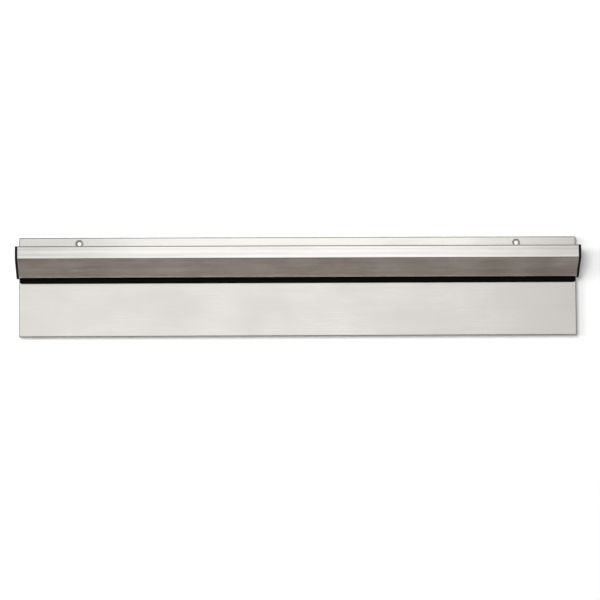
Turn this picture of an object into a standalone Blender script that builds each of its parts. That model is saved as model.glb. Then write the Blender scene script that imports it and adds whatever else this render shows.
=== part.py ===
"""Order ticket rail: a folded steel back plate with a marble channel that grips paper tickets.

Metres, +Z up. X runs along the rail, the front faces -Y, and the wall is the plane y = 0.
The origin lies on the wall, midway between the two screw holes.
A ticket is pushed up between the lip of the rail cover and the rubber grip strip. The glass
marbles sit in the wedge between the strip and the slanted face, and hold it by their weight.
"""
from math import cos, pi, radians, sin, tan

import bmesh
import bpy
from mathutils import Matrix, Vector

OBJECT_NAME = "order_ticket_rail"

# Clearances that every piece shares
SEAT_GAP = 0.0003
CUT_OVERRUN = 0.001

# Back plate, a shallow pan folded from one sheet
PLATE_LENGTH = 0.510
PLATE_HEIGHT = 0.091
PLATE_SHEET = 0.0008
PAN_DEPTH = 0.008
PLATE_BEND = 0.0012
SEAM_WIDTH = 0.0006

# Screw holes, each pressed into a small countersink
HOLE_FROM_END = 0.055
HOLE_BORE = 0.0034
HOLE_MOUTH = 0.0064
DIMPLE_DEPTH = 0.0013
HOLE_TO_BEND = 0.0015
HOLE_TO_COVER = 0.0005

# Grip strip, glued to the plate's face
STRIP_THICKNESS = 0.0015
STRIP_BELOW_LIP = 0.0052
STRIP_END_INSET = 0.0004
STRIP_CORNER = 0.0018
STRIP_EDGE = 0.0003

# Marbles, and the room that the channel leaves round them
MARBLE_DIAMETER = 0.014
MARBLE_PLAY = 0.0001
ROOM_ABOVE = 0.0040
ROOM_IN_FRONT = 0.0041
SLANT_ANGLE = radians(45)

# Rail cover, folded from one sheet
COVER_END_INSET = 0.0007
COVER_SHEET = 0.0008
COVER_BEND = 0.0012
FLANGE_HEIGHT = 0.008
HEM_LENGTH = 0.005
HEM_GAP = 0.0003
THROAT = 0.0016

# End caps, moulded plates with a hollow plug that pushes into the cover
CAP_THICKNESS = 0.0020
CAP_BELOW_LIP = 0.0010
CAP_LOWER_CORNER = 0.0013
CAP_EDGE = 0.0004
PLUG_DEPTH = 0.007
PLUG_WALL = 0.0014
PLUG_CORNER = 0.0008
PLUG_LEAD = 0.0004

# Facets, and the angles that tell a sharp edge from a smooth or flat one
BEND_STEPS = 4
HEM_STEPS = 8
HOLE_SIDES = 32
MARBLE_MERIDIANS = 16
MARBLE_RINGS = 8
EDGE_STEPS = 2
SMOOTH_ANGLE = radians(30)
SHARP_ANGLE = radians(60)
FLAT_ANGLE = radians(1)
ROUND_PROFILE = 0.5
WELD_SHARE = 0.01

# Lengths along the rail that follow from the plate's
HOLE_PITCH = PLATE_LENGTH - 2 * HOLE_FROM_END
COVER_LENGTH = PLATE_LENGTH - 2 * COVER_END_INSET
STRIP_LENGTH = COVER_LENGTH - 2 * STRIP_END_INSET

# Heights and depths that follow, with d as the distance in front of the plate's face
MARBLE_RADIUS = MARBLE_DIAMETER / 2
PLATE_TOP = PLATE_BEND + HOLE_TO_BEND + HOLE_MOUTH / 2
PLATE_BOTTOM = PLATE_TOP - PLATE_HEIGHT
COVER_TOP = -(HOLE_MOUTH / 2 + HOLE_TO_COVER)
STRIP_FRONT = SEAT_GAP + STRIP_THICKNESS
MARBLE_D = STRIP_FRONT + SEAT_GAP + MARBLE_RADIUS
MARBLE_Z = COVER_TOP - COVER_SHEET - ROOM_ABOVE - MARBLE_RADIUS
COVER_FRONT = MARBLE_D + MARBLE_RADIUS + ROOM_IN_FRONT + COVER_SHEET

# The slanted face: down it, and square to it towards the marbles
DOWN_SLANT = Vector((-sin(SLANT_ANGLE), -cos(SLANT_ANGLE)))
INWARD = Vector((-cos(SLANT_ANGLE), sin(SLANT_ANGLE)))

# The outer fold, placed so that the marble rests on the slanted face and beside the strip
MARBLE_TO_FACE = COVER_SHEET + SEAT_GAP + MARBLE_RADIUS
FOLD_BELOW_MARBLE = (MARBLE_TO_FACE + INWARD.x * (COVER_FRONT - MARBLE_D)) / INWARD.y
FOLD = Vector((COVER_FRONT, MARBLE_Z - FOLD_BELOW_MARBLE))

# The hem that makes the lip, one throat in front of the strip
HEM_RADIUS = COVER_SHEET + HEM_GAP / 2
HEM_D = STRIP_FRONT + THROAT + HEM_RADIUS
SLANT_LENGTH = (FOLD.x + INWARD.x * HEM_RADIUS - HEM_D) / -DOWN_SLANT.x
HEM_CENTRE = FOLD + DOWN_SLANT * SLANT_LENGTH + INWARD * HEM_RADIUS
LIP_Z = HEM_CENTRE.y - HEM_RADIUS

# Free length of the channel between the two plugs, shared evenly by the marbles
CHANNEL_LENGTH = COVER_LENGTH + 2 * SEAT_GAP - 2 * PLUG_DEPTH
MARBLE_COUNT = int(CHANNEL_LENGTH / (MARBLE_DIAMETER + MARBLE_PLAY))
MARBLE_PITCH = CHANNEL_LENGTH / MARBLE_COUNT


def world(x, d, z):
    """A point at x along the rail, d in front of the plate's face and z up."""
    return Vector((x, -PAN_DEPTH - d, z))


# Turns an outline drawn as (d, z) so that it stands square to the rail
SIDE_ON = Matrix(((0, 0, -1), (-1, 0, 0), (0, 1, 0))).to_4x4()


def rounded(points, radii, steps, closed):
    """The points of a path whose corners are rounded by arcs; a radius of zero keeps a corner."""
    path = []
    for index, (corner, radius) in enumerate(zip(points, radii)):
        at_end = not closed and index in (0, len(points) - 1)
        if at_end or radius == 0:
            path.append(corner.copy())
            continue
        before = (points[index - 1] - corner).normalized()
        after = (points[(index + 1) % len(points)] - corner).normalized()
        half_angle = before.angle(after) / 2
        centre = corner + (before + after).normalized() * radius / sin(half_angle)
        start = corner + before * radius / tan(half_angle) - centre
        sweep = pi - 2 * half_angle
        if before.cross(after) > 0:
            sweep = -sweep
        for step in range(steps + 1):
            path.append(centre + Matrix.Rotation(sweep * step / steps, 2) @ start)
    return path


def inset(points, distances):
    """A counter-clockwise convex outline with each side moved inwards by its own distance."""
    lines = []
    for index, distance in enumerate(distances):
        start = points[index]
        along = (points[(index + 1) % len(points)] - start).normalized()
        lines.append((start + Vector((-along.y, along.x)) * distance, along))
    corners = []
    for index, (start, along) in enumerate(lines):
        before, before_along = lines[index - 1]
        share = (start - before).cross(along) / before_along.cross(along)
        corners.append(before + before_along * share)
    return corners


def material(name, colour, roughness, metallic):
    """A Principled material of one colour."""
    made = bpy.data.materials.new(name)
    made.use_nodes = True
    shader = made.node_tree.nodes["Principled BSDF"]
    shader.inputs["Base Color"].default_value = (*colour, 1)
    shader.inputs["Roughness"].default_value = roughness
    shader.inputs["Metallic"].default_value = metallic
    made.diffuse_color = (*colour, 1)
    return made


def add_object(name, data, group):
    """A new object of this data in the group."""
    made = bpy.data.objects.new(name, data)
    group.objects.link(made)
    return made


def add_mesh(name, bm, group):
    """A new object from a bmesh, which is freed."""
    mesh = bpy.data.meshes.new(name)
    bm.to_mesh(mesh)
    bm.free()
    return add_object(name, mesh, group)


def block(bm, low, high):
    """A box in the bmesh between two corners."""
    centre = (low + high) / 2
    size = high - low
    placed = Matrix.Translation(centre) @ Matrix.Diagonal((*size, 1))
    return bmesh.ops.create_cube(bm, size=1, matrix=placed)["verts"]


def plate_from_outline(name, outline, thickness, centre_x, group):
    """A flat piece: a (d, z) outline filled, made as thick as asked and stood square to the rail."""
    curve = bpy.data.curves.new(name, "CURVE")
    curve.dimensions = "2D"
    curve.fill_mode = "BOTH"
    curve.extrude = thickness / 2
    spline = curve.splines.new("POLY")
    spline.points.add(len(outline) - 1)
    for point, place in zip(spline.points, outline):
        point.co = (*place, 0, 1)
    spline.use_cyclic_u = True
    drawn = add_object(name + "_outline", curve, group)
    drawn.matrix_world = Matrix.Translation(world(centre_x, 0, 0)) @ SIDE_ON
    bpy.context.view_layer.update()
    evaluated = drawn.evaluated_get(bpy.context.evaluated_depsgraph_get())
    mesh = bpy.data.meshes.new_from_object(evaluated)
    mesh.name = name
    bm = bmesh.new()
    bm.from_mesh(mesh)
    bmesh.ops.remove_doubles(bm, verts=bm.verts, dist=SEAT_GAP * WELD_SHARE)
    bmesh.ops.dissolve_limit(bm, angle_limit=FLAT_ANGLE, verts=bm.verts, edges=bm.edges)
    bm.to_mesh(mesh)
    bm.free()
    flat = add_object(name, mesh, group)
    flat.matrix_world = drawn.matrix_world
    bpy.data.objects.remove(drawn)
    return flat


def boolean(target, tool, operation):
    """Join or cut a piece with another, which becomes a hidden guide."""
    tool.hide_render = True
    tool.display_type = "WIRE"
    modifier = target.modifiers.new(tool.name, "BOOLEAN")
    modifier.operation = operation
    modifier.object = tool
    modifier.solver = "EXACT"


def bevel(target, width, steps):
    """Round or chamfer the sharp edges."""
    modifier = target.modifiers.new("edges", "BEVEL")
    modifier.width = width
    modifier.segments = steps
    modifier.limit_method = "ANGLE"
    modifier.angle_limit = SHARP_ANGLE


def finish(piece, surface):
    """Give a piece its material and smooth shading with sharp edges kept."""
    piece.data.materials.clear()
    piece.data.materials.append(surface)
    piece.data.shade_smooth()
    piece.data.set_sharp_from_angle(angle=SMOOTH_ANGLE)


def back_plate(parts, cutters, surface):
    """The pan: face and four folded edges, seams at its corners and two pressed screw holes."""
    bm = bmesh.new()
    half = PLATE_LENGTH / 2
    block(bm, Vector((-half, -PAN_DEPTH, PLATE_BOTTOM)), Vector((half, 0, PLATE_TOP)))
    wall_side = max(bm.faces, key=lambda face: face.normal.y)
    open_edges = set(wall_side.edges)
    bmesh.ops.delete(bm, geom=[wall_side], context="FACES_ONLY")
    folds = [edge for edge in bm.edges if edge not in open_edges]
    bmesh.ops.bevel(
        bm,
        geom=folds,
        offset=PLATE_BEND,
        offset_type="OFFSET",
        segments=BEND_STEPS,
        profile=ROUND_PROFILE,
        affect="EDGES",
    )
    plate = add_mesh("back_plate", bm, parts)
    sheet = plate.modifiers.new("sheet", "SOLIDIFY")
    sheet.thickness = PLATE_SHEET
    sheet.offset = -1
    sheet.use_even_offset = True

    seams = bmesh.new()
    seam_front = -PAN_DEPTH + PLATE_BEND
    seam_reach = PLATE_BEND + PLATE_SHEET
    for side in (-1, 1):
        for level, up in ((PLATE_BOTTOM, -1), (PLATE_TOP, 1)):
            low = Vector((-seam_reach, seam_front, -SEAM_WIDTH / 2))
            high = Vector((seam_reach, CUT_OVERRUN, SEAM_WIDTH / 2))
            verts = block(seams, low, high)
            turn = Matrix.Rotation(-side * up * pi / 4, 4, "Y")
            corner = Vector((side * half, 0, level))
            bmesh.ops.transform(seams, verts=verts, matrix=Matrix.Translation(corner) @ turn)
    boolean(plate, add_mesh("corner_seams", seams, cutters), "DIFFERENCE")

    slope = (HOLE_MOUTH - HOLE_BORE) / 2 / DIMPLE_DEPTH
    pressed_to = DIMPLE_DEPTH + PLATE_SHEET / 2
    dimples = screw_cones(PLATE_SHEET / 2, pressed_to, HOLE_MOUTH / 2 + PLATE_SHEET, slope)
    sinks = screw_cones(-CUT_OVERRUN, pressed_to, HOLE_MOUTH / 2 + slope * CUT_OVERRUN, slope)
    bores = screw_cones(0, pressed_to + CUT_OVERRUN, HOLE_BORE / 2, 0)
    boolean(plate, add_mesh("pressed_dimples", dimples, cutters), "UNION")
    boolean(plate, add_mesh("countersinks", sinks, cutters), "DIFFERENCE")
    boolean(plate, add_mesh("screw_bores", bores, cutters), "DIFFERENCE")
    finish(plate, surface)
    return plate


def screw_cones(front, back, radius, slope):
    """At each screw hole a cone between two depths behind the plate's face, narrowing by the slope."""
    bm = bmesh.new()
    length = back - front
    facing_wall = Matrix.Rotation(-pi / 2, 4, "X")
    for side in (-1, 1):
        centre = world(side * HOLE_PITCH / 2, -(front + back) / 2, 0)
        bmesh.ops.create_cone(
            bm,
            cap_ends=True,
            segments=HOLE_SIDES,
            radius1=radius,
            radius2=radius - slope * length,
            depth=length,
            matrix=Matrix.Translation(centre) @ facing_wall,
        )
    return bm


def rail_cover(parts, surface):
    """The channel: rear flange, top, front, slanted face and hemmed lip, as one folded sheet."""
    middle = COVER_SHEET / 2
    rear = SEAT_GAP + middle
    face_foot = HEM_CENTRE - INWARD * (HEM_RADIUS - middle)
    fold_drop = middle * (1 - sin(SLANT_ANGLE)) / cos(SLANT_ANGLE)
    corners = [
        Vector((rear, COVER_TOP - FLANGE_HEIGHT)),
        Vector((rear, COVER_TOP - middle)),
        Vector((COVER_FRONT - middle, COVER_TOP - middle)),
        Vector((COVER_FRONT - middle, FOLD.y + fold_drop)),
        face_foot,
    ]
    bend = COVER_BEND - middle
    path = rounded(corners, (0, bend, bend, bend, 0), BEND_STEPS, closed=False)
    for step in range(1, HEM_STEPS + 1):
        turn = Matrix.Rotation(-pi * step / HEM_STEPS, 2)
        path.append(HEM_CENTRE + turn @ (face_foot - HEM_CENTRE))
    path.append(path[-1] - DOWN_SLANT * HEM_LENGTH)

    bm = bmesh.new()
    verts = [bm.verts.new(world(-COVER_LENGTH / 2, *place)) for place in path]
    edges = [bm.edges.new(pair) for pair in zip(verts, verts[1:])]
    swept = bmesh.ops.extrude_edge_only(bm, edges=edges)["geom"]
    far_verts = [item for item in swept if isinstance(item, bmesh.types.BMVert)]
    bmesh.ops.translate(bm, verts=far_verts, vec=Vector((COVER_LENGTH, 0, 0)))
    cover = add_mesh("rail_cover", bm, parts)
    sheet = cover.modifiers.new("sheet", "SOLIDIFY")
    sheet.thickness = COVER_SHEET
    sheet.offset = 0
    sheet.use_even_offset = True
    finish(cover, surface)
    return cover


def grip_strip(parts, surface):
    """The rubber strip on the plate's face, from under the rear flange to below the lip."""
    half = STRIP_LENGTH / 2
    top = COVER_TOP - FLANGE_HEIGHT - SEAT_GAP
    low = world(-half, STRIP_FRONT, LIP_Z - STRIP_BELOW_LIP)
    high = world(half, SEAT_GAP, top)
    bm = bmesh.new()
    block(bm, low, high)
    corners = [edge for edge in bm.edges if edge.verts[0].co.xz == edge.verts[1].co.xz]
    bmesh.ops.bevel(
        bm,
        geom=corners,
        offset=STRIP_CORNER,
        offset_type="OFFSET",
        segments=BEND_STEPS,
        profile=ROUND_PROFILE,
        affect="EDGES",
    )
    strip = add_mesh("grip_strip", bm, parts)
    bevel(strip, STRIP_EDGE, EDGE_STEPS)
    finish(strip, surface)
    return strip


def end_cap(name, side, parts, cutters, surface):
    """A cap: a plate with the rail's outline, and a hollow plug that fits inside the cover."""
    low_z = LIP_Z - CAP_BELOW_LIP
    low_d = FOLD.x + DOWN_SLANT.x * (FOLD.y - low_z) / -DOWN_SLANT.y
    profile = [
        Vector((SEAT_GAP, COVER_TOP)),
        Vector((SEAT_GAP, low_z)),
        Vector((low_d, low_z)),
        FOLD.copy(),
        Vector((COVER_FRONT, COVER_TOP)),
    ]
    radii = (0, CAP_LOWER_CORNER, CAP_LOWER_CORNER, COVER_BEND, COVER_BEND)
    inner_end = COVER_LENGTH / 2 + SEAT_GAP
    centre_x = side * (inner_end + CAP_THICKNESS / 2)
    outline = rounded(profile, radii, BEND_STEPS, closed=True)
    cap = plate_from_outline(name, outline, CAP_THICKNESS, centre_x, parts)
    bevel(cap, CAP_EDGE, EDGE_STEPS)

    leaf_top = HEM_CENTRE - DOWN_SLANT * HEM_LENGTH + INWARD * HEM_RADIUS
    wall = COVER_SHEET + SEAT_GAP
    seat = [
        Vector((STRIP_FRONT, COVER_TOP)),
        Vector((STRIP_FRONT, leaf_top.y)),
        Vector((FOLD.x + DOWN_SLANT.x * (FOLD.y - leaf_top.y) / -DOWN_SLANT.y, leaf_top.y)),
        FOLD.copy(),
        Vector((COVER_FRONT, COVER_TOP)),
    ]
    plug_corners = inset(seat, (SEAT_GAP, SEAT_GAP, wall, wall, wall))
    plug_outline = rounded(plug_corners, (PLUG_CORNER,) * len(plug_corners), BEND_STEPS, closed=True)
    plug_reach = PLUG_DEPTH + CAP_THICKNESS / 2
    plug_centre = side * (inner_end - PLUG_DEPTH + plug_reach / 2)
    plug = plate_from_outline(name + "_plug", plug_outline, plug_reach, plug_centre, cutters)
    bevel(plug, PLUG_LEAD, 1)
    boolean(cap, plug, "UNION")

    hollow_outline = inset(plug_corners, (PLUG_WALL,) * len(plug_corners))
    hollow_reach = PLUG_DEPTH + CUT_OVERRUN
    hollow_centre = side * (inner_end - hollow_reach / 2)
    hollow = plate_from_outline(name + "_hollow", hollow_outline, hollow_reach, hollow_centre, cutters)
    boolean(cap, hollow, "DIFFERENCE")
    finish(cap, surface)
    return cap


def marbles(parts, surface):
    """The row of glass marbles, each lying between the strip and the slanted face."""
    bm = bmesh.new()
    bmesh.ops.create_uvsphere(
        bm,
        u_segments=MARBLE_MERIDIANS,
        v_segments=MARBLE_RINGS,
        radius=MARBLE_RADIUS,
    )
    mesh = bpy.data.meshes.new("marble")
    bm.to_mesh(mesh)
    bm.free()
    mesh.materials.append(surface)
    mesh.shade_smooth()
    for number in range(MARBLE_COUNT):
        marble = add_object(f"marble_{number + 1:02d}", mesh, parts)
        along = (number + 0.5) * MARBLE_PITCH - CHANNEL_LENGTH / 2
        marble.location = world(along, MARBLE_D, MARBLE_Z)


for old in list(bpy.data.objects):
    bpy.data.objects.remove(old)

parts_group = bpy.data.collections.new(OBJECT_NAME)
cutters_group = bpy.data.collections.new("cutters")
bpy.context.scene.collection.children.link(parts_group)
bpy.context.scene.collection.children.link(cutters_group)

plate_steel = material("brushed_steel_plate", (0.74, 0.72, 0.70), 0.34, 1.0)
cover_steel = material("brushed_steel_cover", (0.72, 0.70, 0.68), 0.28, 1.0)
strip_rubber = material("black_rubber", (0.012, 0.011, 0.012), 0.75, 0.0)
cap_plastic = material("black_plastic", (0.016, 0.015, 0.015), 0.45, 0.0)
marble_glass = material("clear_glass", (0.78, 0.86, 0.84), 0.05, 0.0)

back_plate(parts_group, cutters_group, plate_steel)
rail_cover(parts_group, cover_steel)
grip_strip(parts_group, strip_rubber)
end_cap("end_cap_left", -1, parts_group, cutters_group, cap_plastic)
end_cap("end_cap_right", 1, parts_group, cutters_group, cap_plastic)
marbles(parts_group, marble_glass)
bpy.context.view_layer.update()
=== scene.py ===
"""An order ticket rail on a pale wall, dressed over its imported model.

Metres, +Z up. X runs along the rail, the front faces -Y, and the wall is the plane y = 0. The
origin lies on the wall, midway between the two screw holes.
"""
from math import cos, pi, radians, sin, tan

import bmesh
import bpy
from mathutils import Matrix, Vector


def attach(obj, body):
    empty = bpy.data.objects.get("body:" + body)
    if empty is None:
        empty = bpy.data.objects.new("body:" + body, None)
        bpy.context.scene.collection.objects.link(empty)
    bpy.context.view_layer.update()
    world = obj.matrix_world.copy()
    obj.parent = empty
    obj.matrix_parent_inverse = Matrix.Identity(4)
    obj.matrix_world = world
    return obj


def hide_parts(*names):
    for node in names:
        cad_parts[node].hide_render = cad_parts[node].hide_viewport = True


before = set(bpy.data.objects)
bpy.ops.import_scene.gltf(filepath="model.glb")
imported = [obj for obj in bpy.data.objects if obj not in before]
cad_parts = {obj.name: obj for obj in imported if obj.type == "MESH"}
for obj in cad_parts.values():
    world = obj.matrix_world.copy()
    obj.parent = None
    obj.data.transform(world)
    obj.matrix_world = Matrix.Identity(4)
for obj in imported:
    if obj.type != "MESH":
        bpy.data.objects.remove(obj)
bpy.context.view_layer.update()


# The camera. It stands a little below the rail and a little to its left, two metres off, with a
# long lens, so the fronts show nearly square and the slanted face shows well.
aim = Vector((0.00117, -0.008, -0.05205))
distance = 1.9776
turned_left = radians(1.69)
looking_up = radians(3.77)
tilted = radians(-0.34)
lens = 129.86

towards = Vector(
    (
        -sin(turned_left) * cos(looking_up),
        -cos(turned_left) * cos(looking_up),
        -sin(looking_up),
    )
)
level_right = (-towards).cross(Vector((0, 0, 1))).normalized()
level_up = level_right.cross(-towards)
right = level_right * cos(tilted) + level_up * sin(tilted)
up = level_up * cos(tilted) - level_right * sin(tilted)

bpy.ops.object.select_all(action="DESELECT")
bpy.ops.object.camera_add(location=aim + towards * distance)
camera = bpy.context.active_object
camera.name = "camera"
camera.rotation_euler = Matrix((right, up, towards)).transposed().to_euler()
camera.data.lens = lens
camera.data.sensor_width = 36
camera.data.clip_start = 0.05
camera.data.clip_end = 50
bpy.context.scene.camera = camera


# The back plate. One sheet of 0.8 mm stainless steel, folded back on all four sides into a pan
# 8 mm deep, with an open seam at each corner. Two screw holes are pressed in, so that a sunk
# head lies flush, and the face is brushed along its length.
plate_length = 0.510
plate_top = 0.0059
plate_bottom = -0.0851
pan_depth = 0.008
sheet = 0.0008
plate_bend = 0.0012
bend_steps = 8
seam_width = 0.0006
seam_saw = 0.0056
seam_overrun = 0.001
hole_places = (-0.200, 0.200)
hole_rim = 0.0037
hole_mouth = 0.0032
hole_bore = 0.0017
hole_sink = 0.0013
hole_steps = 64
drill_length = 0.004
hair = 0.00001


def made(name):
    """The piece just added, named, with its place and size put into its mesh."""
    piece = bpy.context.active_object
    piece.name = name
    piece.data.name = name
    bpy.ops.object.transform_apply(location=True, rotation=True, scale=True)
    return piece


def hold(piece):
    """Select a piece and nothing else."""
    bpy.ops.object.select_all(action="DESELECT")
    piece.select_set(True)
    bpy.context.view_layer.objects.active = piece


def pick(kind, wanted):
    """In edit mode, select only the corners, edges or faces that pass a test."""
    mode = {"verts": "VERT", "edges": "EDGE", "faces": "FACE"}[kind]
    bpy.ops.mesh.select_mode(type=mode)
    bpy.ops.mesh.select_all(action="DESELECT")
    mesh = bmesh.from_edit_mesh(bpy.context.edit_object.data)
    for item in getattr(mesh, kind):
        if wanted(item):
            item.select_set(True)
    mesh.select_flush_mode()
    bmesh.update_edit_mesh(bpy.context.edit_object.data)


def at(value, place, within=hair):
    """Whether a value lies at a place, give or take a hair."""
    return abs(value - place) < within


def runs_along(edge, axis):
    """Whether an edge runs along the axis of that number."""
    way = edge.verts[1].co - edge.verts[0].co
    return abs(way[axis]) > 0.999 * way.length


def middle(edge):
    """The point half way along an edge."""
    return (edge.verts[0].co + edge.verts[1].co) / 2


def apply(piece, modifier):
    """Apply a modifier to its piece."""
    hold(piece)
    bpy.ops.object.modifier_apply(modifier=modifier.name)


def cut(piece, tool):
    """Cut one mesh out of another, and throw the tool away."""
    modifier = piece.modifiers.new("cut", "BOOLEAN")
    modifier.operation = "DIFFERENCE"
    modifier.object = tool
    modifier.solver = "EXACT"
    apply(piece, modifier)
    bpy.data.objects.remove(tool)


def thicken(piece, thickness, offset, even=True):
    """Give a bent surface the thickness of its sheet, to one side (-1) or to both (0)."""
    modifier = piece.modifiers.new("sheet", "SOLIDIFY")
    modifier.thickness = thickness
    modifier.offset = offset
    modifier.use_even_offset = even
    apply(piece, modifier)


def soften(piece, width, steps, angle=60):
    """Round a piece's sharp edges by a small amount."""
    modifier = piece.modifiers.new("edges", "BEVEL")
    modifier.width = width
    modifier.segments = steps
    modifier.limit_method = "ANGLE"
    modifier.angle_limit = radians(angle)
    modifier.harden_normals = False
    apply(piece, modifier)


def smooth(piece, angle=35):
    """Shade a piece smooth, but for its sharp edges, with its flat faces kept flat."""
    hold(piece)
    bpy.ops.object.shade_smooth_by_angle(angle=radians(angle))
    modifier = piece.modifiers.new("flats", "WEIGHTED_NORMAL")
    modifier.mode = "FACE_AREA"
    modifier.weight = 60
    modifier.keep_sharp = True
    apply(piece, modifier)


bpy.ops.object.select_all(action="DESELECT")
bpy.ops.mesh.primitive_cube_add(
    size=1,
    location=(0, -pan_depth / 2, (plate_top + plate_bottom) / 2),
    scale=(plate_length, pan_depth, plate_top - plate_bottom),
)
plate = made("steel_plate")
bpy.ops.object.mode_set(mode="EDIT")
pick("faces", lambda face: face.normal.y > 0.9)
bpy.ops.mesh.delete(type="ONLY_FACE")
pick("edges", lambda edge: not edge.is_boundary)
bpy.ops.mesh.bevel(offset=plate_bend, offset_type="OFFSET", segments=bend_steps, affect="EDGES")
bpy.ops.object.mode_set(mode="OBJECT")
thicken(plate, sheet, offset=-1)

# the open seams, sawn on the diagonal of each corner, from the bend to just past the rear edge
seam_middle = (plate_bend - pan_depth + seam_overrun) / 2
seam_depth = pan_depth - plate_bend + seam_overrun
for side in (-1, 1):
    for height, above in ((plate_bottom, -1), (plate_top, 1)):
        bpy.ops.object.select_all(action="DESELECT")
        bpy.ops.mesh.primitive_cube_add(
            size=1,
            location=(side * plate_length / 2, seam_middle, height),
            rotation=(0, -side * above * pi / 4, 0),
            scale=(seam_saw, seam_depth, seam_width),
        )
        cut(plate, made("saw"))

# the pressed holes: a round opening, then the sheet drawn down through it as a turned funnel
bpy.ops.object.select_all(action="DESELECT")
for place in hole_places:
    bpy.ops.mesh.primitive_cylinder_add(
        vertices=hole_steps,
        radius=hole_rim,
        depth=drill_length,
        location=(place, -pan_depth, 0),
        rotation=(pi / 2, 0, 0),
    )
    if place != hole_places[0]:
        drills.select_set(True)
        bpy.ops.object.join()
    drills = made("drills")
cut(plate, drills)


def hole_distance(point):
    """How far a point of the plate is from the line through the middle of the nearest hole."""
    return min((point - Vector((place, point.y, 0))).length for place in hole_places)


def in_hole_wall(face):
    """Whether a face is the straight wall that the cut left round an opening."""
    at_rim = at(hole_distance(face.calc_center_median()), hole_rim, within=5 * hair)
    return at_rim and abs(face.normal.y) < 0.1


hold(plate)
bpy.ops.object.mode_set(mode="EDIT")
pick("faces", in_hole_wall)
bpy.ops.mesh.delete(type="FACE")
bpy.ops.object.mode_set(mode="OBJECT")

# the funnel's rings, from the rim down the front and back up behind: the radius and the depth
funnel = (
    (hole_rim, 0),
    (hole_mouth + 0.00028, 0.00003),
    (hole_mouth + 0.00006, 0.00013),
    (hole_mouth - 0.00016, 0.00032),
    (hole_bore + 0.00006, hole_sink - 0.00006),
    (hole_bore, hole_sink + 0.00002),
    (hole_bore, hole_sink + 0.0003),
    (hole_bore + 0.00008, hole_sink + 0.0004),
    (hole_bore + 0.0007, hole_sink + 0.0004),
    (hole_mouth + 0.0003, sheet + 0.00025),
    (hole_mouth + 0.00042, sheet + 0.00006),
    (hole_rim, sheet),
)
for place in hole_places:
    bpy.ops.object.select_all(action="DESELECT")
    bpy.ops.mesh.primitive_circle_add(
        vertices=hole_steps,
        radius=hole_rim,
        location=(place, -pan_depth, 0),
        rotation=(pi / 2, 0, 0),
    )
    made("funnel")
    bpy.ops.object.mode_set(mode="EDIT")
    pick("verts", lambda vert: True)
    for (radius, depth), (next_radius, next_depth) in zip(funnel, funnel[1:]):
        bpy.ops.mesh.extrude_edges_move(
            TRANSFORM_OT_translate={"value": (0, next_depth - depth, 0)}
        )
        bpy.ops.transform.resize(
            value=(next_radius / radius, 1, next_radius / radius),
            center_override=(place, -pan_depth, 0),
        )
    bpy.ops.object.mode_set(mode="OBJECT")
    plate.select_set(True)
    bpy.context.view_layer.objects.active = plate
    bpy.ops.object.join()

bpy.ops.object.mode_set(mode="EDIT")
bpy.ops.mesh.select_all(action="SELECT")
bpy.ops.mesh.remove_doubles(threshold=hair)
bpy.ops.mesh.normals_make_consistent(inside=False)
bpy.ops.object.mode_set(mode="OBJECT")
smooth(plate)


def feed(tree, taker, inputs):
    """Give each input of a node its value, or join it to the output that feeds it."""
    for name, value in inputs.items():
        if isinstance(value, bpy.types.NodeSocket):
            tree.links.new(value, taker.inputs[name])
        else:
            taker.inputs[name].default_value = value


def node(tree, kind, inputs, **settings):
    """A new node of a kind, set and then fed."""
    added = tree.nodes.new(f"ShaderNode{kind}")
    for setting, value in settings.items():
        setattr(added, setting, value)
    feed(tree, added, inputs)
    return added


def surface(name, plain_colour):
    """A new material, its node tree, and the places on a piece that its patterns read."""
    material = bpy.data.materials.new(name)
    material.use_nodes = True
    material.diffuse_color = (*plain_colour, 1)
    tree = material.node_tree
    return material, tree, node(tree, "TexCoord", {}).outputs["Object"]


def noise(tree, places, scale, detail, rough=0.5):
    """Cloudy noise over the places given."""
    inputs = {"Vector": places, "Scale": scale, "Detail": detail, "Roughness": rough}
    return node(tree, "TexNoise", inputs).outputs["Fac"]


def spread(tree, value, low, high, start=0.3, stop=0.7, **settings):
    """A value that goes from low to high while the one given goes from start to stop."""
    inputs = {"Value": value, "From Min": start, "From Max": stop, "To Min": low, "To Max": high}
    return node(tree, "MapRange", inputs, **settings).outputs["Result"]


def joined(tree, operation, first, second):
    """Two values put together."""
    return node(tree, "Math", {0: first, 1: second}, operation=operation).outputs["Value"]


def raised(tree, value, strength, height):
    """The surface raised here and there by a value."""
    inputs = {"Strength": strength, "Distance": height, "Height": value}
    return node(tree, "Bump", inputs).outputs["Normal"]


# the left end is darker, a painted shade: it starts to fade at the first place, and ends at the
# second
shaded_left_end = (-0.205, -0.135)

# the plate above the rail is fresher, and the painted shade at its left end keeps to it:
# this starts at the first height and is full at the second
above_rail = (-0.008, -0.004)


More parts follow.
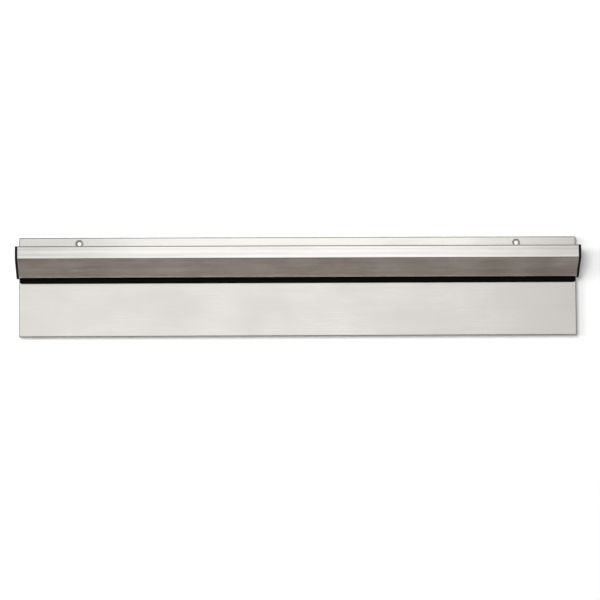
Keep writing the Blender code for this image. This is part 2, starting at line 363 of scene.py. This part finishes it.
def steel(name, colour, rough, across, streaks, blotches, left_shade, painted_tones, fresh=0):
    """Stainless steel. Brushed along X, it spreads light across that line by the share given.

    It is darker towards its left end by the share given, a painted shade. The painted tones, given
    as (axis, start, stop, low, high), are painted shade on bends, a painted highlight on the lip
    and painted reflections of faint ridges. Where fresh is given, the painted shade at the left
    end keeps to the part above the rail, and that part is smoother by fresh, because nothing rubs
    it there.
    """
    material, tree, places = surface(name, colour)

    def drawn_noise(stretch, scale, detail):
        """Noise drawn out along the rail."""
        drawn = node(tree, "Mapping", {"Vector": places, "Scale": stretch}).outputs["Vector"]
        return noise(tree, drawn, scale, detail, rough=0.6)

    def change(axis, start, stop, low, high):
        """A value that goes from low to high between two places along an axis."""
        along = node(tree, "SeparateXYZ", {"Vector": places}).outputs[axis]
        return spread(tree, along, low, high, start, stop, interpolation_type="SMOOTHSTEP")

    long_streaks = drawn_noise((1.2, 50, 50), scale=6, detail=6)
    fine_grain = drawn_noise((12, 1400, 1400), scale=3, detail=3)
    clouds = drawn_noise((1, 1.6, 1.6), scale=16, detail=4)

    brushwork = joined(
        tree,
        "MULTIPLY",
        spread(tree, long_streaks, 1 - streaks, 1 + streaks),
        spread(tree, fine_grain, 1 - streaks / 2, 1 + streaks / 2),
    )
    shade = joined(tree, "MULTIPLY", brushwork, spread(tree, clouds, 1 - blotches, 1 + blotches))
    # a painted shade, darker towards the left end
    left_shading = change("X", *shaded_left_end, left_shade, 0)
    if fresh:
        left_shading = joined(tree, "MULTIPLY", left_shading, change("Z", *above_rail, 0, 1))
    shade = joined(tree, "SUBTRACT", shade, joined(tree, "MULTIPLY", shade, left_shading))
    # the painted shade on bends, the painted highlight on the lip and the painted reflections
    # along the band
    for painted_tone in painted_tones:
        shade = joined(tree, "MULTIPLY", shade, change(*painted_tone))
    tint = node(
        tree,
        "Mix",
        {"Factor": 1, "A": (*colour, 1), "B": shade},
        data_type="RGBA",
        blend_type="MULTIPLY",
    )

    dull = joined(
        tree,
        "ADD",
        spread(tree, clouds, rough - 0.03, rough + 0.04),
        spread(tree, fine_grain, -0.03, 0.03),
    )
    if fresh:
        dull = joined(tree, "ADD", dull, change("Z", *above_rail, 0, -fresh))

    feed(
        tree,
        tree.nodes["Principled BSDF"],
        {
            "Base Color": tint.outputs["Result"],
            "Metallic": 1,
            "Roughness": dull,
            "Anisotropic": across,
            "Anisotropic Rotation": 0.25,
            "Tangent": node(tree, "CombineXYZ", {"X": 1}).outputs["Vector"],
            "Normal": raised(tree, fine_grain, strength=0.25, height=0.00002),
        },
    )
    return material


# the bent edges are darker, a painted shade, darkest at the bottom and right and lighter at the
# left,
# where the light falls: how dark each is at its outermost, just inside the sheet's edge
bend_shade = 0.42
left_bend_shade = 0.80
edge_inset = 0.0001
plate_painted_shade = (
    ("Z", plate_bottom + edge_inset, plate_bottom + plate_bend, bend_shade, 1),
    ("X", -plate_length / 2 + edge_inset, -plate_length / 2 + plate_bend, left_bend_shade, 1),
    ("X", plate_length / 2 - plate_bend, plate_length / 2 - edge_inset, 1, bend_shade),
)
plate.data.materials.clear()
plate.data.materials.append(
    steel(
        "brushed_steel_of_plate",
        colour=(0.80, 0.779, 0.742),
        rough=0.30,
        across=0.6,
        streaks=0.012,
        blotches=0.010,
        left_shade=0.12,
        painted_tones=plate_painted_shade,
        fresh=0.14,
    )
)

# the press leaves the holes duller than the brushed face
plate.data.materials.append(
    steel(
        "pressed_steel_of_holes",
        colour=(0.92, 0.90, 0.87),
        rough=0.70,
        across=0,
        streaks=0.02,
        blotches=0.02,
        left_shade=0,
        painted_tones=(),
    )
)
for face in plate.data.polygons:
    if hole_distance(face.center) < hole_rim:
        face.material_index = 1
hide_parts("back_plate")
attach(plate, "rail")


# The rail cover. One sheet of the same steel in a channel: a rear flange spot-welded to the
# plate, a flat top, an upright band, a slanted face that the marbles roll on, and a lip hemmed
# back on itself so that its edge isn't sharp.
cover_half = 0.2543
cover_top = -0.0037
cover_front = -0.0290
flange_rear = -0.0083
flange_foot = -0.0117
fold_height = -0.0150551
hem_centre = Vector((0, -0.01235, -0.0303616))
hem_radius = 0.00095
hem_steps = 12
hem_leaf = 0.005
cover_bend = 0.0008
cover_edge = 0.00008
half_sheet = sheet / 2
down_slant = Vector((0, sin(pi / 4), -cos(pi / 4)))
inward = Vector((0, cos(pi / 4), sin(pi / 4)))

first_y = flange_rear - half_sheet
band_y = cover_front + half_sheet
top_z = cover_top - half_sheet
fold_z = fold_height + half_sheet * (1 - sin(pi / 4)) / cos(pi / 4)
foot = hem_centre - inward * (hem_radius - half_sheet)

bpy.ops.object.select_all(action="DESELECT")
flange_middle = (0, first_y, (flange_foot + top_z) / 2)
bpy.ops.mesh.primitive_plane_add(size=1, location=flange_middle, rotation=(pi / 2, 0, 0))
cover = made("steel_rail_cover")
bpy.ops.object.mode_set(mode="EDIT")
bpy.ops.transform.resize(
    value=(2 * cover_half, 1, top_z - flange_foot), center_override=flange_middle
)
pick("edges", lambda edge: middle(edge).z > top_z - hair)
for step in (
    (0, band_y - first_y, 0),
    (0, 0, fold_z - top_z),
    (0, foot.y - band_y, foot.z - fold_z),
):
    bpy.ops.mesh.extrude_region_move(TRANSFORM_OT_translate={"value": step})
bpy.ops.mesh.spin(steps=hem_steps, angle=-pi, center=hem_centre, axis=(1, 0, 0))
bpy.ops.mesh.extrude_region_move(
    TRANSFORM_OT_translate={"value": tuple(-down_slant * hem_leaf)}
)
pick("edges", lambda edge: runs_along(edge, 0) and at(middle(edge).z, top_z))
bpy.ops.mesh.bevel(offset=cover_bend, offset_type="OFFSET", segments=bend_steps, affect="EDGES")
pick(
    "edges",
    lambda edge: runs_along(edge, 0)
    and at(middle(edge).z, fold_z)
    and at(middle(edge).y, band_y),
)
bpy.ops.mesh.bevel(
    offset=cover_bend * tan(pi / 8), offset_type="OFFSET", segments=6, affect="EDGES"
)
bpy.ops.object.mode_set(mode="OBJECT")
thicken(cover, sheet, offset=0)
bpy.ops.object.mode_set(mode="EDIT")
bpy.ops.mesh.select_all(action="SELECT")
bpy.ops.mesh.normals_make_consistent(inside=False)
bpy.ops.object.mode_set(mode="OBJECT")
soften(cover, cover_edge, 2)
smooth(cover)

# the bend at the top is darker, a painted shade, and the lip's edge is brighter, a painted
# highlight
top_bend_shade = 0.45
top_inset = 0.0002
lip_highlight = 1.22
lip_start = hem_centre.z + 0.0002
lip_stop = hem_centre.z + 0.0006
cover_painted_light = [
    ("Z", cover_top - cover_bend, cover_top - top_inset, 1, top_bend_shade),
    ("Z", lip_start, lip_stop, lip_highlight, 1),
]

# faint lines along the band, painted reflections of long ridges left by the rolls, some darker and
# some brighter: the height of each and how bright it is
band_ridge_reflections = ((-0.0068, 0.955), (-0.0090, 1.05), (-0.0116, 0.955), (-0.0136, 1.045))
line_core = 0.0003
line_edge = 0.0010
for line, ridge_tone in band_ridge_reflections:
    cover_painted_light.append(("Z", line - line_edge, line - line_core, 1, ridge_tone))
    cover_painted_light.append(("Z", line + line_core, line + line_edge, 1, 1 / ridge_tone))
cover.data.materials.clear()
cover.data.materials.append(
    steel(
        "brushed_steel_of_cover",
        colour=(0.805, 0.788, 0.764),
        rough=0.16,
        across=0.5,
        streaks=0.09,
        blotches=0.04,
        left_shade=0.12,
        painted_tones=cover_painted_light,
    )
)
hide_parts("rail_cover")
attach(cover, "rail")


# The grip strip. Black rubber, 1.5 mm thick, glued to the plate. It runs from under the rear
# flange to just below the lip, and whatever is hung on the rail is pinched against it.
strip_half = 0.2539
strip_top = -0.0120
strip_foot = -0.0365116
strip_rear = -0.0083
strip_front = -0.0098
strip_corner = 0.0018
strip_edge = 0.0003

bpy.ops.object.select_all(action="DESELECT")
bpy.ops.mesh.primitive_cube_add(
    size=1,
    location=(0, (strip_rear + strip_front) / 2, (strip_top + strip_foot) / 2),
    scale=(2 * strip_half, strip_rear - strip_front, strip_top - strip_foot),
)
strip = made("rubber_grip_strip")
bpy.ops.object.mode_set(mode="EDIT")
pick("edges", lambda edge: runs_along(edge, 1))
bpy.ops.mesh.bevel(offset=strip_corner, offset_type="OFFSET", segments=8, affect="EDGES")
bpy.ops.object.mode_set(mode="OBJECT")
soften(strip, strip_edge, 3)
smooth(strip)


def two_tones(tree, value, first, second, start, stop):
    """A colour between two, by a value that goes from start to stop."""
    tones = node(tree, "ValToRGB", {"Fac": value})
    stops = zip(tones.color_ramp.elements, (start, stop), (first, second))
    for element, position, colour in stops:
        element.position = position
        element.color = (*colour, 1)
    return tones.outputs["Color"]


def black(name, colour, rough, gloss, grain_scale, grain_height, wear):
    """A black moulded surface: fine grain in relief, and paler rubbed places."""
    material, tree, places = surface(name, colour)
    grain = noise(tree, places, grain_scale, detail=3)
    rubbed = noise(tree, places, scale=45, detail=5)
    paler = tuple(share + wear for share in colour)
    feed(
        tree,
        tree.nodes["Principled BSDF"],
        {
            "Base Color": two_tones(tree, rubbed, colour, paler, start=0.35, stop=0.75),
            "Roughness": spread(tree, rubbed, rough - 0.06, rough + 0.06),
            "Specular IOR Level": gloss,
            "Normal": raised(tree, grain, strength=0.5, height=grain_height),
        },
    )
    return material


# its colour is darker than the rubber's own: partly the black rubber, partly painted shade from
# the lip
strip.data.materials.clear()
strip.data.materials.append(
    black(
        "black_rubber_of_strip",
        colour=(0.0024, 0.0023, 0.0016),
        rough=0.78,
        gloss=0.04,
        grain_scale=2600,
        grain_height=0.00004,
        wear=0.0015,
    )
)
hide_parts("grip_strip")
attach(strip, "rail")


# The end caps. Black moulded plastic with the rail's outline and softly rounded edges. A hollow
# plug on the inner side pushes into the open end of the cover and holds by its press fit.
cap_inner = 0.2546
cap_outer = 0.2566
cap_rear = -0.0083
cap_foot = -0.0323116
cap_corner = 0.0012
cap_foot_corner = 0.0013
cap_edge = 0.00035
plug_depth = 0.007
plug_margin = 0.0011
plug_wall = 0.0014
plug_rear = -0.0101
plug_foot = -0.0258543
rim_at_least = 0.0005

for side, end in ((-1, "left"), (1, "right")):
    bpy.ops.object.select_all(action="DESELECT")
    bpy.ops.mesh.primitive_cube_add(
        size=1,
        location=(
            side * (cap_inner + cap_outer) / 2,
            (cap_rear + cover_front) / 2,
            (cover_top + cap_foot) / 2,
        ),
        scale=(cap_outer - cap_inner, cap_rear - cover_front, cover_top - cap_foot),
    )
    cap = made(f"plastic_cap_{end}")
    bpy.ops.object.mode_set(mode="EDIT")
    bpy.ops.mesh.select_all(action="SELECT")
    bpy.ops.mesh.bisect(
        plane_co=(0, cover_front, fold_height),
        plane_no=tuple(-inward),
        use_fill=True,
        clear_outer=True,
    )

    # the plug, inset from the inner face, set back to clear the strip and hem, and hollowed
    pick("faces", lambda face: face.normal.x * side < -0.9)
    bpy.ops.mesh.inset(thickness=plug_margin)
    inset_rear = cap_rear - plug_margin
    inset_foot = cap_foot + plug_margin
    pick("verts", lambda vert: at(vert.co.y, inset_rear))
    bpy.ops.transform.translate(value=(0, plug_rear - inset_rear, 0))
    pick("verts", lambda vert: at(vert.co.z, inset_foot) and at(vert.co.y, plug_rear))
    bpy.ops.transform.translate(value=(0, 0, plug_foot - inset_foot))
    pick("verts", lambda vert: at(vert.co.z, inset_foot))
    bpy.ops.transform.translate(value=(0, inset_foot - plug_foot, plug_foot - inset_foot))

    def on_plug(face):
        """Whether a face is the end of the plug: it faces inwards, clear of the cap's rim."""
        return face.normal.x * side < -0.9 and all(
            vert.co.z > plug_foot - hair
            and cover_front + rim_at_least < vert.co.y < plug_rear + hair
            for vert in face.verts
        )

    pick("faces", on_plug)
    bpy.ops.mesh.extrude_region_move(
        TRANSFORM_OT_translate={"value": (-side * plug_depth, 0, 0)}
    )
    bpy.ops.mesh.inset(thickness=plug_wall)
    bpy.ops.mesh.extrude_region_move(
        TRANSFORM_OT_translate={"value": (side * plug_depth, 0, 0)}
    )

    # the rounded corners of the outline, where it turns by a right angle or by half of one
    for corner_y, corner_z, offset in (
        (cover_front, cover_top, cap_corner),
        (cover_front, fold_height, cap_corner * tan(pi / 8)),
        (cap_rear, cap_foot, cap_foot_corner),
        (cover_front + fold_height - cap_foot, cap_foot, cap_foot_corner * tan(pi / 8)),
    ):
        pick(
            "edges",
            lambda edge: runs_along(edge, 0)
            and at(middle(edge).y, corner_y, within=2 * hair)
            and at(middle(edge).z, corner_z, within=2 * hair),
        )
        bpy.ops.mesh.bevel(offset=offset, offset_type="OFFSET", segments=6, affect="EDGES")
    bpy.ops.mesh.select_all(action="SELECT")
    bpy.ops.mesh.normals_make_consistent(inside=False)
    bpy.ops.object.mode_set(mode="OBJECT")
    soften(cap, cap_edge, 3, angle=50)
    smooth(cap)
    cap.data.materials.clear()
    cap.data.materials.append(
        black(
            f"black_plastic_of_{end}_cap",
            colour=(0.0055, 0.005, 0.0045),
            rough=0.45,
            gloss=0.12,
            grain_scale=1500,
            grain_height=0.00003,
            wear=0.004,
        )
    )
    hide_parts(f"end_cap_{end}")
    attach(cap, "rail")


# The marbles. Thirty-five glass balls of 14 mm lie side by side in the wedge behind the slanted
# face, and give way up it when something is pushed in. Each has a coloured twist inside, as play
# marbles do.
marble_radius = 0.007
marble_y = -0.0171
marble_z = -0.0155
marble_count = 35
marble_pitch = 0.4952 / marble_count
marble_steps = 40
scar_height = 0.985 * marble_radius
twist_length = 0.0104
twist_width = 0.0062
twist_thickness = 0.0004
twist_tip = 0.12
twist_rows = 18
twist_turn = radians(11)


def clear_glass(name):
    """Clear glass with a faint green cast and a surface scuffed by rolling."""
    material, tree, places = surface(name, (0.8, 0.92, 0.88))
    scuffs = noise(tree, places, scale=700, detail=4)
    greener, clearer = (0.80, 0.93, 0.89), (0.90, 0.97, 0.94)
    feed(
        tree,
        tree.nodes["Principled BSDF"],
        {
            "Base Color": two_tones(tree, scuffs, greener, clearer, start=0, stop=1),
            "Roughness": spread(tree, scuffs, 0.03, 0.22, start=0.45, stop=0.75),
            "IOR": 1.5,
            "Transmission Weight": 0.92,
        },
    )
    return material


def twist_colour(name):
    """Opaque coloured glass, banded along the ribbon."""
    material, tree, places = surface(name, (0.1, 0.25, 0.5))
    bands = noise(tree, places, scale=260, detail=2)
    blue, cream = (0.02, 0.12, 0.42), (0.85, 0.86, 0.80)
    banded = two_tones(tree, bands, blue, cream, start=0.42, stop=0.58)
    feed(tree, tree.nodes["Principled BSDF"], {"Base Color": banded, "Roughness": 0.3})
    return material


bpy.ops.object.select_all(action="DESELECT")
bpy.ops.mesh.primitive_uv_sphere_add(
    segments=marble_steps, ring_count=marble_steps // 2, radius=marble_radius
)
ball = made("glass_marble")
bpy.ops.object.mode_set(mode="EDIT")
# the small dull scar where the glass was sheared off
pick("verts", lambda vert: vert.co.z > scar_height)
bpy.ops.transform.resize(value=(1, 1, 0), center_override=(0, 0, scar_height))
bpy.ops.object.mode_set(mode="OBJECT")
smooth(ball, angle=60)

# the twist: a flat ribbon, drawn to a tip at both ends and turned row by row
bpy.ops.object.select_all(action="DESELECT")
bpy.ops.mesh.primitive_grid_add(
    x_subdivisions=6, y_subdivisions=twist_rows, size=twist_length
)
ribbon = made("twist")
bpy.ops.object.mode_set(mode="EDIT")
half_rows = twist_rows // 2
for row in range(-half_rows, half_rows + 1):
    height = row * twist_length / twist_rows
    pick("verts", lambda vert: at(vert.co.y, height, within=10 * hair))
    taper = max(twist_tip, cos(pi / 2 * abs(row) / (half_rows + 0.5)))
    bpy.ops.transform.resize(
        value=(twist_width / twist_length * taper, 1, 1), center_override=(0, height, 0)
    )
    bpy.ops.transform.rotate(
        value=row * twist_turn,
        orient_axis="Y",
        orient_type="GLOBAL",
        center_override=(0, height, 0),
    )
bpy.ops.object.mode_set(mode="OBJECT")
thicken(ribbon, twist_thickness, offset=0, even=False)
smooth(ribbon, angle=60)

ball.data.materials.clear()
ball.data.materials.append(clear_glass("clear_glass_of_marbles"))
ribbon.data.materials.clear()
ribbon.data.materials.append(twist_colour("coloured_glass_twist"))
bpy.ops.object.select_all(action="DESELECT")
ribbon.select_set(True)
ball.select_set(True)
bpy.context.view_layer.objects.active = ball
bpy.ops.object.join()

# each marble lies turned by a step over and a step round from the one before it
step_over = 2.4
step_round = 1.7
for number in range(1, marble_count + 1):
    marble = ball.copy()
    marble.data = ball.data.copy()
    marble.name = f"glass_marble_{number:02d}"
    marble.data.name = marble.name
    bpy.context.scene.collection.objects.link(marble)
    over = Matrix.Rotation(number * step_over, 4, "X")
    rolled = over @ Matrix.Rotation(number * step_round, 4, "Z")
    along = (number - 0.5 - marble_count / 2) * marble_pitch
    marble.data.transform(Matrix.Translation((along, marble_y, marble_z)) @ rolled)
    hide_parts(f"marble_{number:02d}")
    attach(marble, f"marble_{number:02d}_ball")
bpy.data.objects.remove(ball)


# The wall that the rail hangs on. A plain white board with an opening behind the plate, so that
# light reaches the back of the part. It shows only from the front.
wall_width = 6
wall_behind = 0.0006
opening_half = 0.2525
opening_foot = -0.0826
opening_top = 0.0034
wall_glow = 0.12

bpy.ops.object.select_all(action="DESELECT")
bpy.ops.mesh.primitive_plane_add(
    size=wall_width, location=(0, wall_behind, 0), rotation=(pi / 2, 0, 0)
)
wall = made("wall")
bpy.ops.object.mode_set(mode="EDIT")
for plane_co, plane_no in (
    ((-opening_half, 0, 0), (1, 0, 0)),
    ((opening_half, 0, 0), (1, 0, 0)),
    ((0, 0, opening_foot), (0, 0, 1)),
    ((0, 0, opening_top), (0, 0, 1)),
):
    bpy.ops.mesh.select_all(action="SELECT")
    bpy.ops.mesh.bisect(plane_co=plane_co, plane_no=plane_no)
pick("faces", lambda face: face.calc_center_median().length < opening_half)
bpy.ops.mesh.delete(type="ONLY_FACE")
bpy.ops.object.mode_set(mode="OBJECT")

# it takes light and shadow as matt paint does, and glows a little to the rays that see it
paint = bpy.data.materials.new("white_wall_paint")
paint.use_nodes = True
tree = paint.node_tree
tree.nodes.clear()
ray = node(tree, "LightPath", {}).outputs
seen = joined(tree, "MAXIMUM", ray["Is Camera Ray"], ray["Is Glossy Ray"])
seen = joined(tree, "MAXIMUM", seen, ray["Is Transmission Ray"])
strength = joined(tree, "MULTIPLY", seen, wall_glow)
matt = node(tree, "BsdfDiffuse", {"Color": (0.9, 0.9, 0.9, 1)}).outputs["BSDF"]
glow = node(tree, "Emission", {"Color": (1, 1, 1, 1), "Strength": strength}).outputs["Emission"]
front = node(tree, "AddShader", {0: matt, 1: glow}).outputs["Shader"]
back = node(tree, "BsdfTransparent", {}).outputs["BSDF"]
behind = node(tree, "NewGeometry", {}).outputs["Backfacing"]
one_sided = node(tree, "MixShader", {"Fac": behind, 1: front, 2: back}).outputs["Shader"]
node(tree, "OutputMaterial", {"Surface": one_sided})
wall.data.materials.append(paint)


# The light. Two soft panels at the left, one nearly in front and one further round, throw the
# rail's shadow to the right. The room round them is bright in front, dim overhead and dim and
# warm below, which the bent steel reflects.
rail_middle = Vector((0, 0, -0.04))

for name, place, size, energy in (
    ("front_panel", (-0.50, -2.1, 0.35), 0.75, 27),
    ("side_panel", (-1.9, -1.8, 0.30), 0.9, 19),
):
    bpy.ops.object.select_all(action="DESELECT")
    bpy.ops.object.light_add(type="AREA", location=place)
    panel = bpy.context.active_object
    panel.name = name
    panel.data.shape = "SQUARE"
    panel.data.size = size
    panel.data.energy = energy
    panel.rotation_euler = (rail_middle - panel.location).to_track_quat("-Z", "Y").to_euler()
    panel.visible_glossy = False

room = bpy.data.worlds.new("room")
bpy.context.scene.world = room
room.use_nodes = True
tree = room.node_tree
tree.nodes.clear()
looked = node(tree, "TexCoord", {}).outputs["Generated"]
way = node(tree, "SeparateXYZ", {"Vector": looked}).outputs


def ramp(value, stops):
    """A colour of the room by a value of -1 to 1, through the stops given."""
    reach = node(tree, "MapRange", {"Value": value, "From Min": -1, "From Max": 1})
    colours = node(tree, "ValToRGB", {"Fac": reach.outputs["Result"]})
    while len(colours.color_ramp.elements) < len(stops):
        colours.color_ramp.elements.new(0.5)
    for element, (position, colour) in zip(colours.color_ramp.elements, stops):
        element.position = (position + 1) / 2
        element.color = (*colour, 1)
    return colours.outputs["Color"]


def mixed(blend, first, second):
    """Two colours of the room multiplied or added."""
    inputs = {"Factor": 1, "A": first, "B": second}
    return node(tree, "Mix", inputs, data_type="RGBA", blend_type=blend).outputs["Result"]


# the room's tone from floor to ceiling, and how much of it shows from left to right
by_height = ramp(
    way["Z"],
    (
        (-1.0, (0.20, 0.162, 0.134)),
        (-0.975, (0.20, 0.162, 0.134)),
        (-0.8, (0.17, 0.15, 0.13)),
        (-0.6, (0.17, 0.165, 0.16)),
        (-0.42, (0.45, 0.44, 0.43)),
        (-0.25, (0.85, 0.85, 0.84)),
        (-0.1, (0.96, 0.96, 0.95)),
        (0.25, (0.96, 0.96, 0.96)),
        (0.4, (0.60, 0.60, 0.60)),
        (0.65, (0.24, 0.24, 0.24)),
        (1.0, (0.12, 0.12, 0.12)),
    ),
)
by_side = ramp(
    way["X"],
    (
        (-1.0, (0.40, 0.40, 0.40)),
        (-0.45, (0.70, 0.70, 0.70)),
        (-0.2, (0.95, 0.95, 0.95)),
        (-0.1, (1.0, 1.0, 1.0)),
        (0.10, (1.0, 1.0, 1.0)),
        (0.125, (0.93, 0.918, 0.918)),
        (0.15, (0.74, 0.722, 0.722)),
        (0.18, (0.50, 0.483, 0.483)),
        (0.24, (0.54, 0.54, 0.54)),
        (0.40, (0.80, 0.80, 0.80)),
        (0.52, (0.62, 0.62, 0.62)),
        (0.66, (0.12, 0.12, 0.12)),
        (1.0, (0.08, 0.08, 0.08)),
    ),
)

# a window straight ahead, brightest a little to the right, and a pale floor in front
window_sides = ramp(
    way["X"],
    (
        (-0.11, (0.0, 0.0, 0.0)),
        (-0.07, (0.22, 0.22, 0.22)),
        (-0.045, (0.66, 0.66, 0.66)),
        (-0.02, (0.88, 0.88, 0.88)),
        (0.055, (0.88, 0.88, 0.88)),
        (0.075, (1.0, 1.0, 1.0)),
        (0.10, (1.0, 1.0, 1.0)),
        (0.12, (0.52, 0.52, 0.52)),
        (0.16, (0.0, 0.0, 0.0)),
    ),
)
window_height = ramp(
    way["Z"],
    (
        (-0.05, (0.0, 0.0, 0.0)),
        (0.06, (0.28, 0.28, 0.28)),
        (0.10, (0.37, 0.37, 0.364)),
        (0.28, (0.365, 0.365, 0.359)),
        (0.42, (0.0, 0.0, 0.0)),
    ),
)
pale_floor = ramp(
    way["Z"],
    (
        (-0.50, (0.0, 0.0, 0.0)),
        (-0.38, (0.42, 0.42, 0.412)),
        (-0.14, (0.42, 0.42, 0.412)),
        (-0.02, (0.0, 0.0, 0.0)),
    ),
)
walls = mixed("MULTIPLY", mixed("ADD", by_height, pale_floor), by_side)
window = mixed("MULTIPLY", window_sides, window_height)
lit = node(tree, "Background", {"Color": mixed("ADD", walls, window), "Strength": 1})
white = node(tree, "Background", {"Color": (1, 1, 1, 1), "Strength": 1})

# camera and transmission rays see white everywhere, and glossy rays see it beyond the wall
ray = node(tree, "LightPath", {}).outputs
past_wall = joined(tree, "GREATER_THAN", way["Y"], 0)
glossy_past_wall = joined(tree, "MULTIPLY", past_wall, ray["Is Glossy Ray"])
sees_white = joined(tree, "MAXIMUM", ray["Is Camera Ray"], ray["Is Transmission Ray"])
sees_white = joined(tree, "MAXIMUM", sees_white, glossy_past_wall)
shown = node(
    tree,
    "MixShader",
    {"Fac": sees_white, 1: lit.outputs["Background"], 2: white.outputs["Background"]},
)
node(tree, "OutputWorld", {"Surface": shown.outputs["Shader"]})

bpy.context.scene.view_settings.view_transform = "Standard"
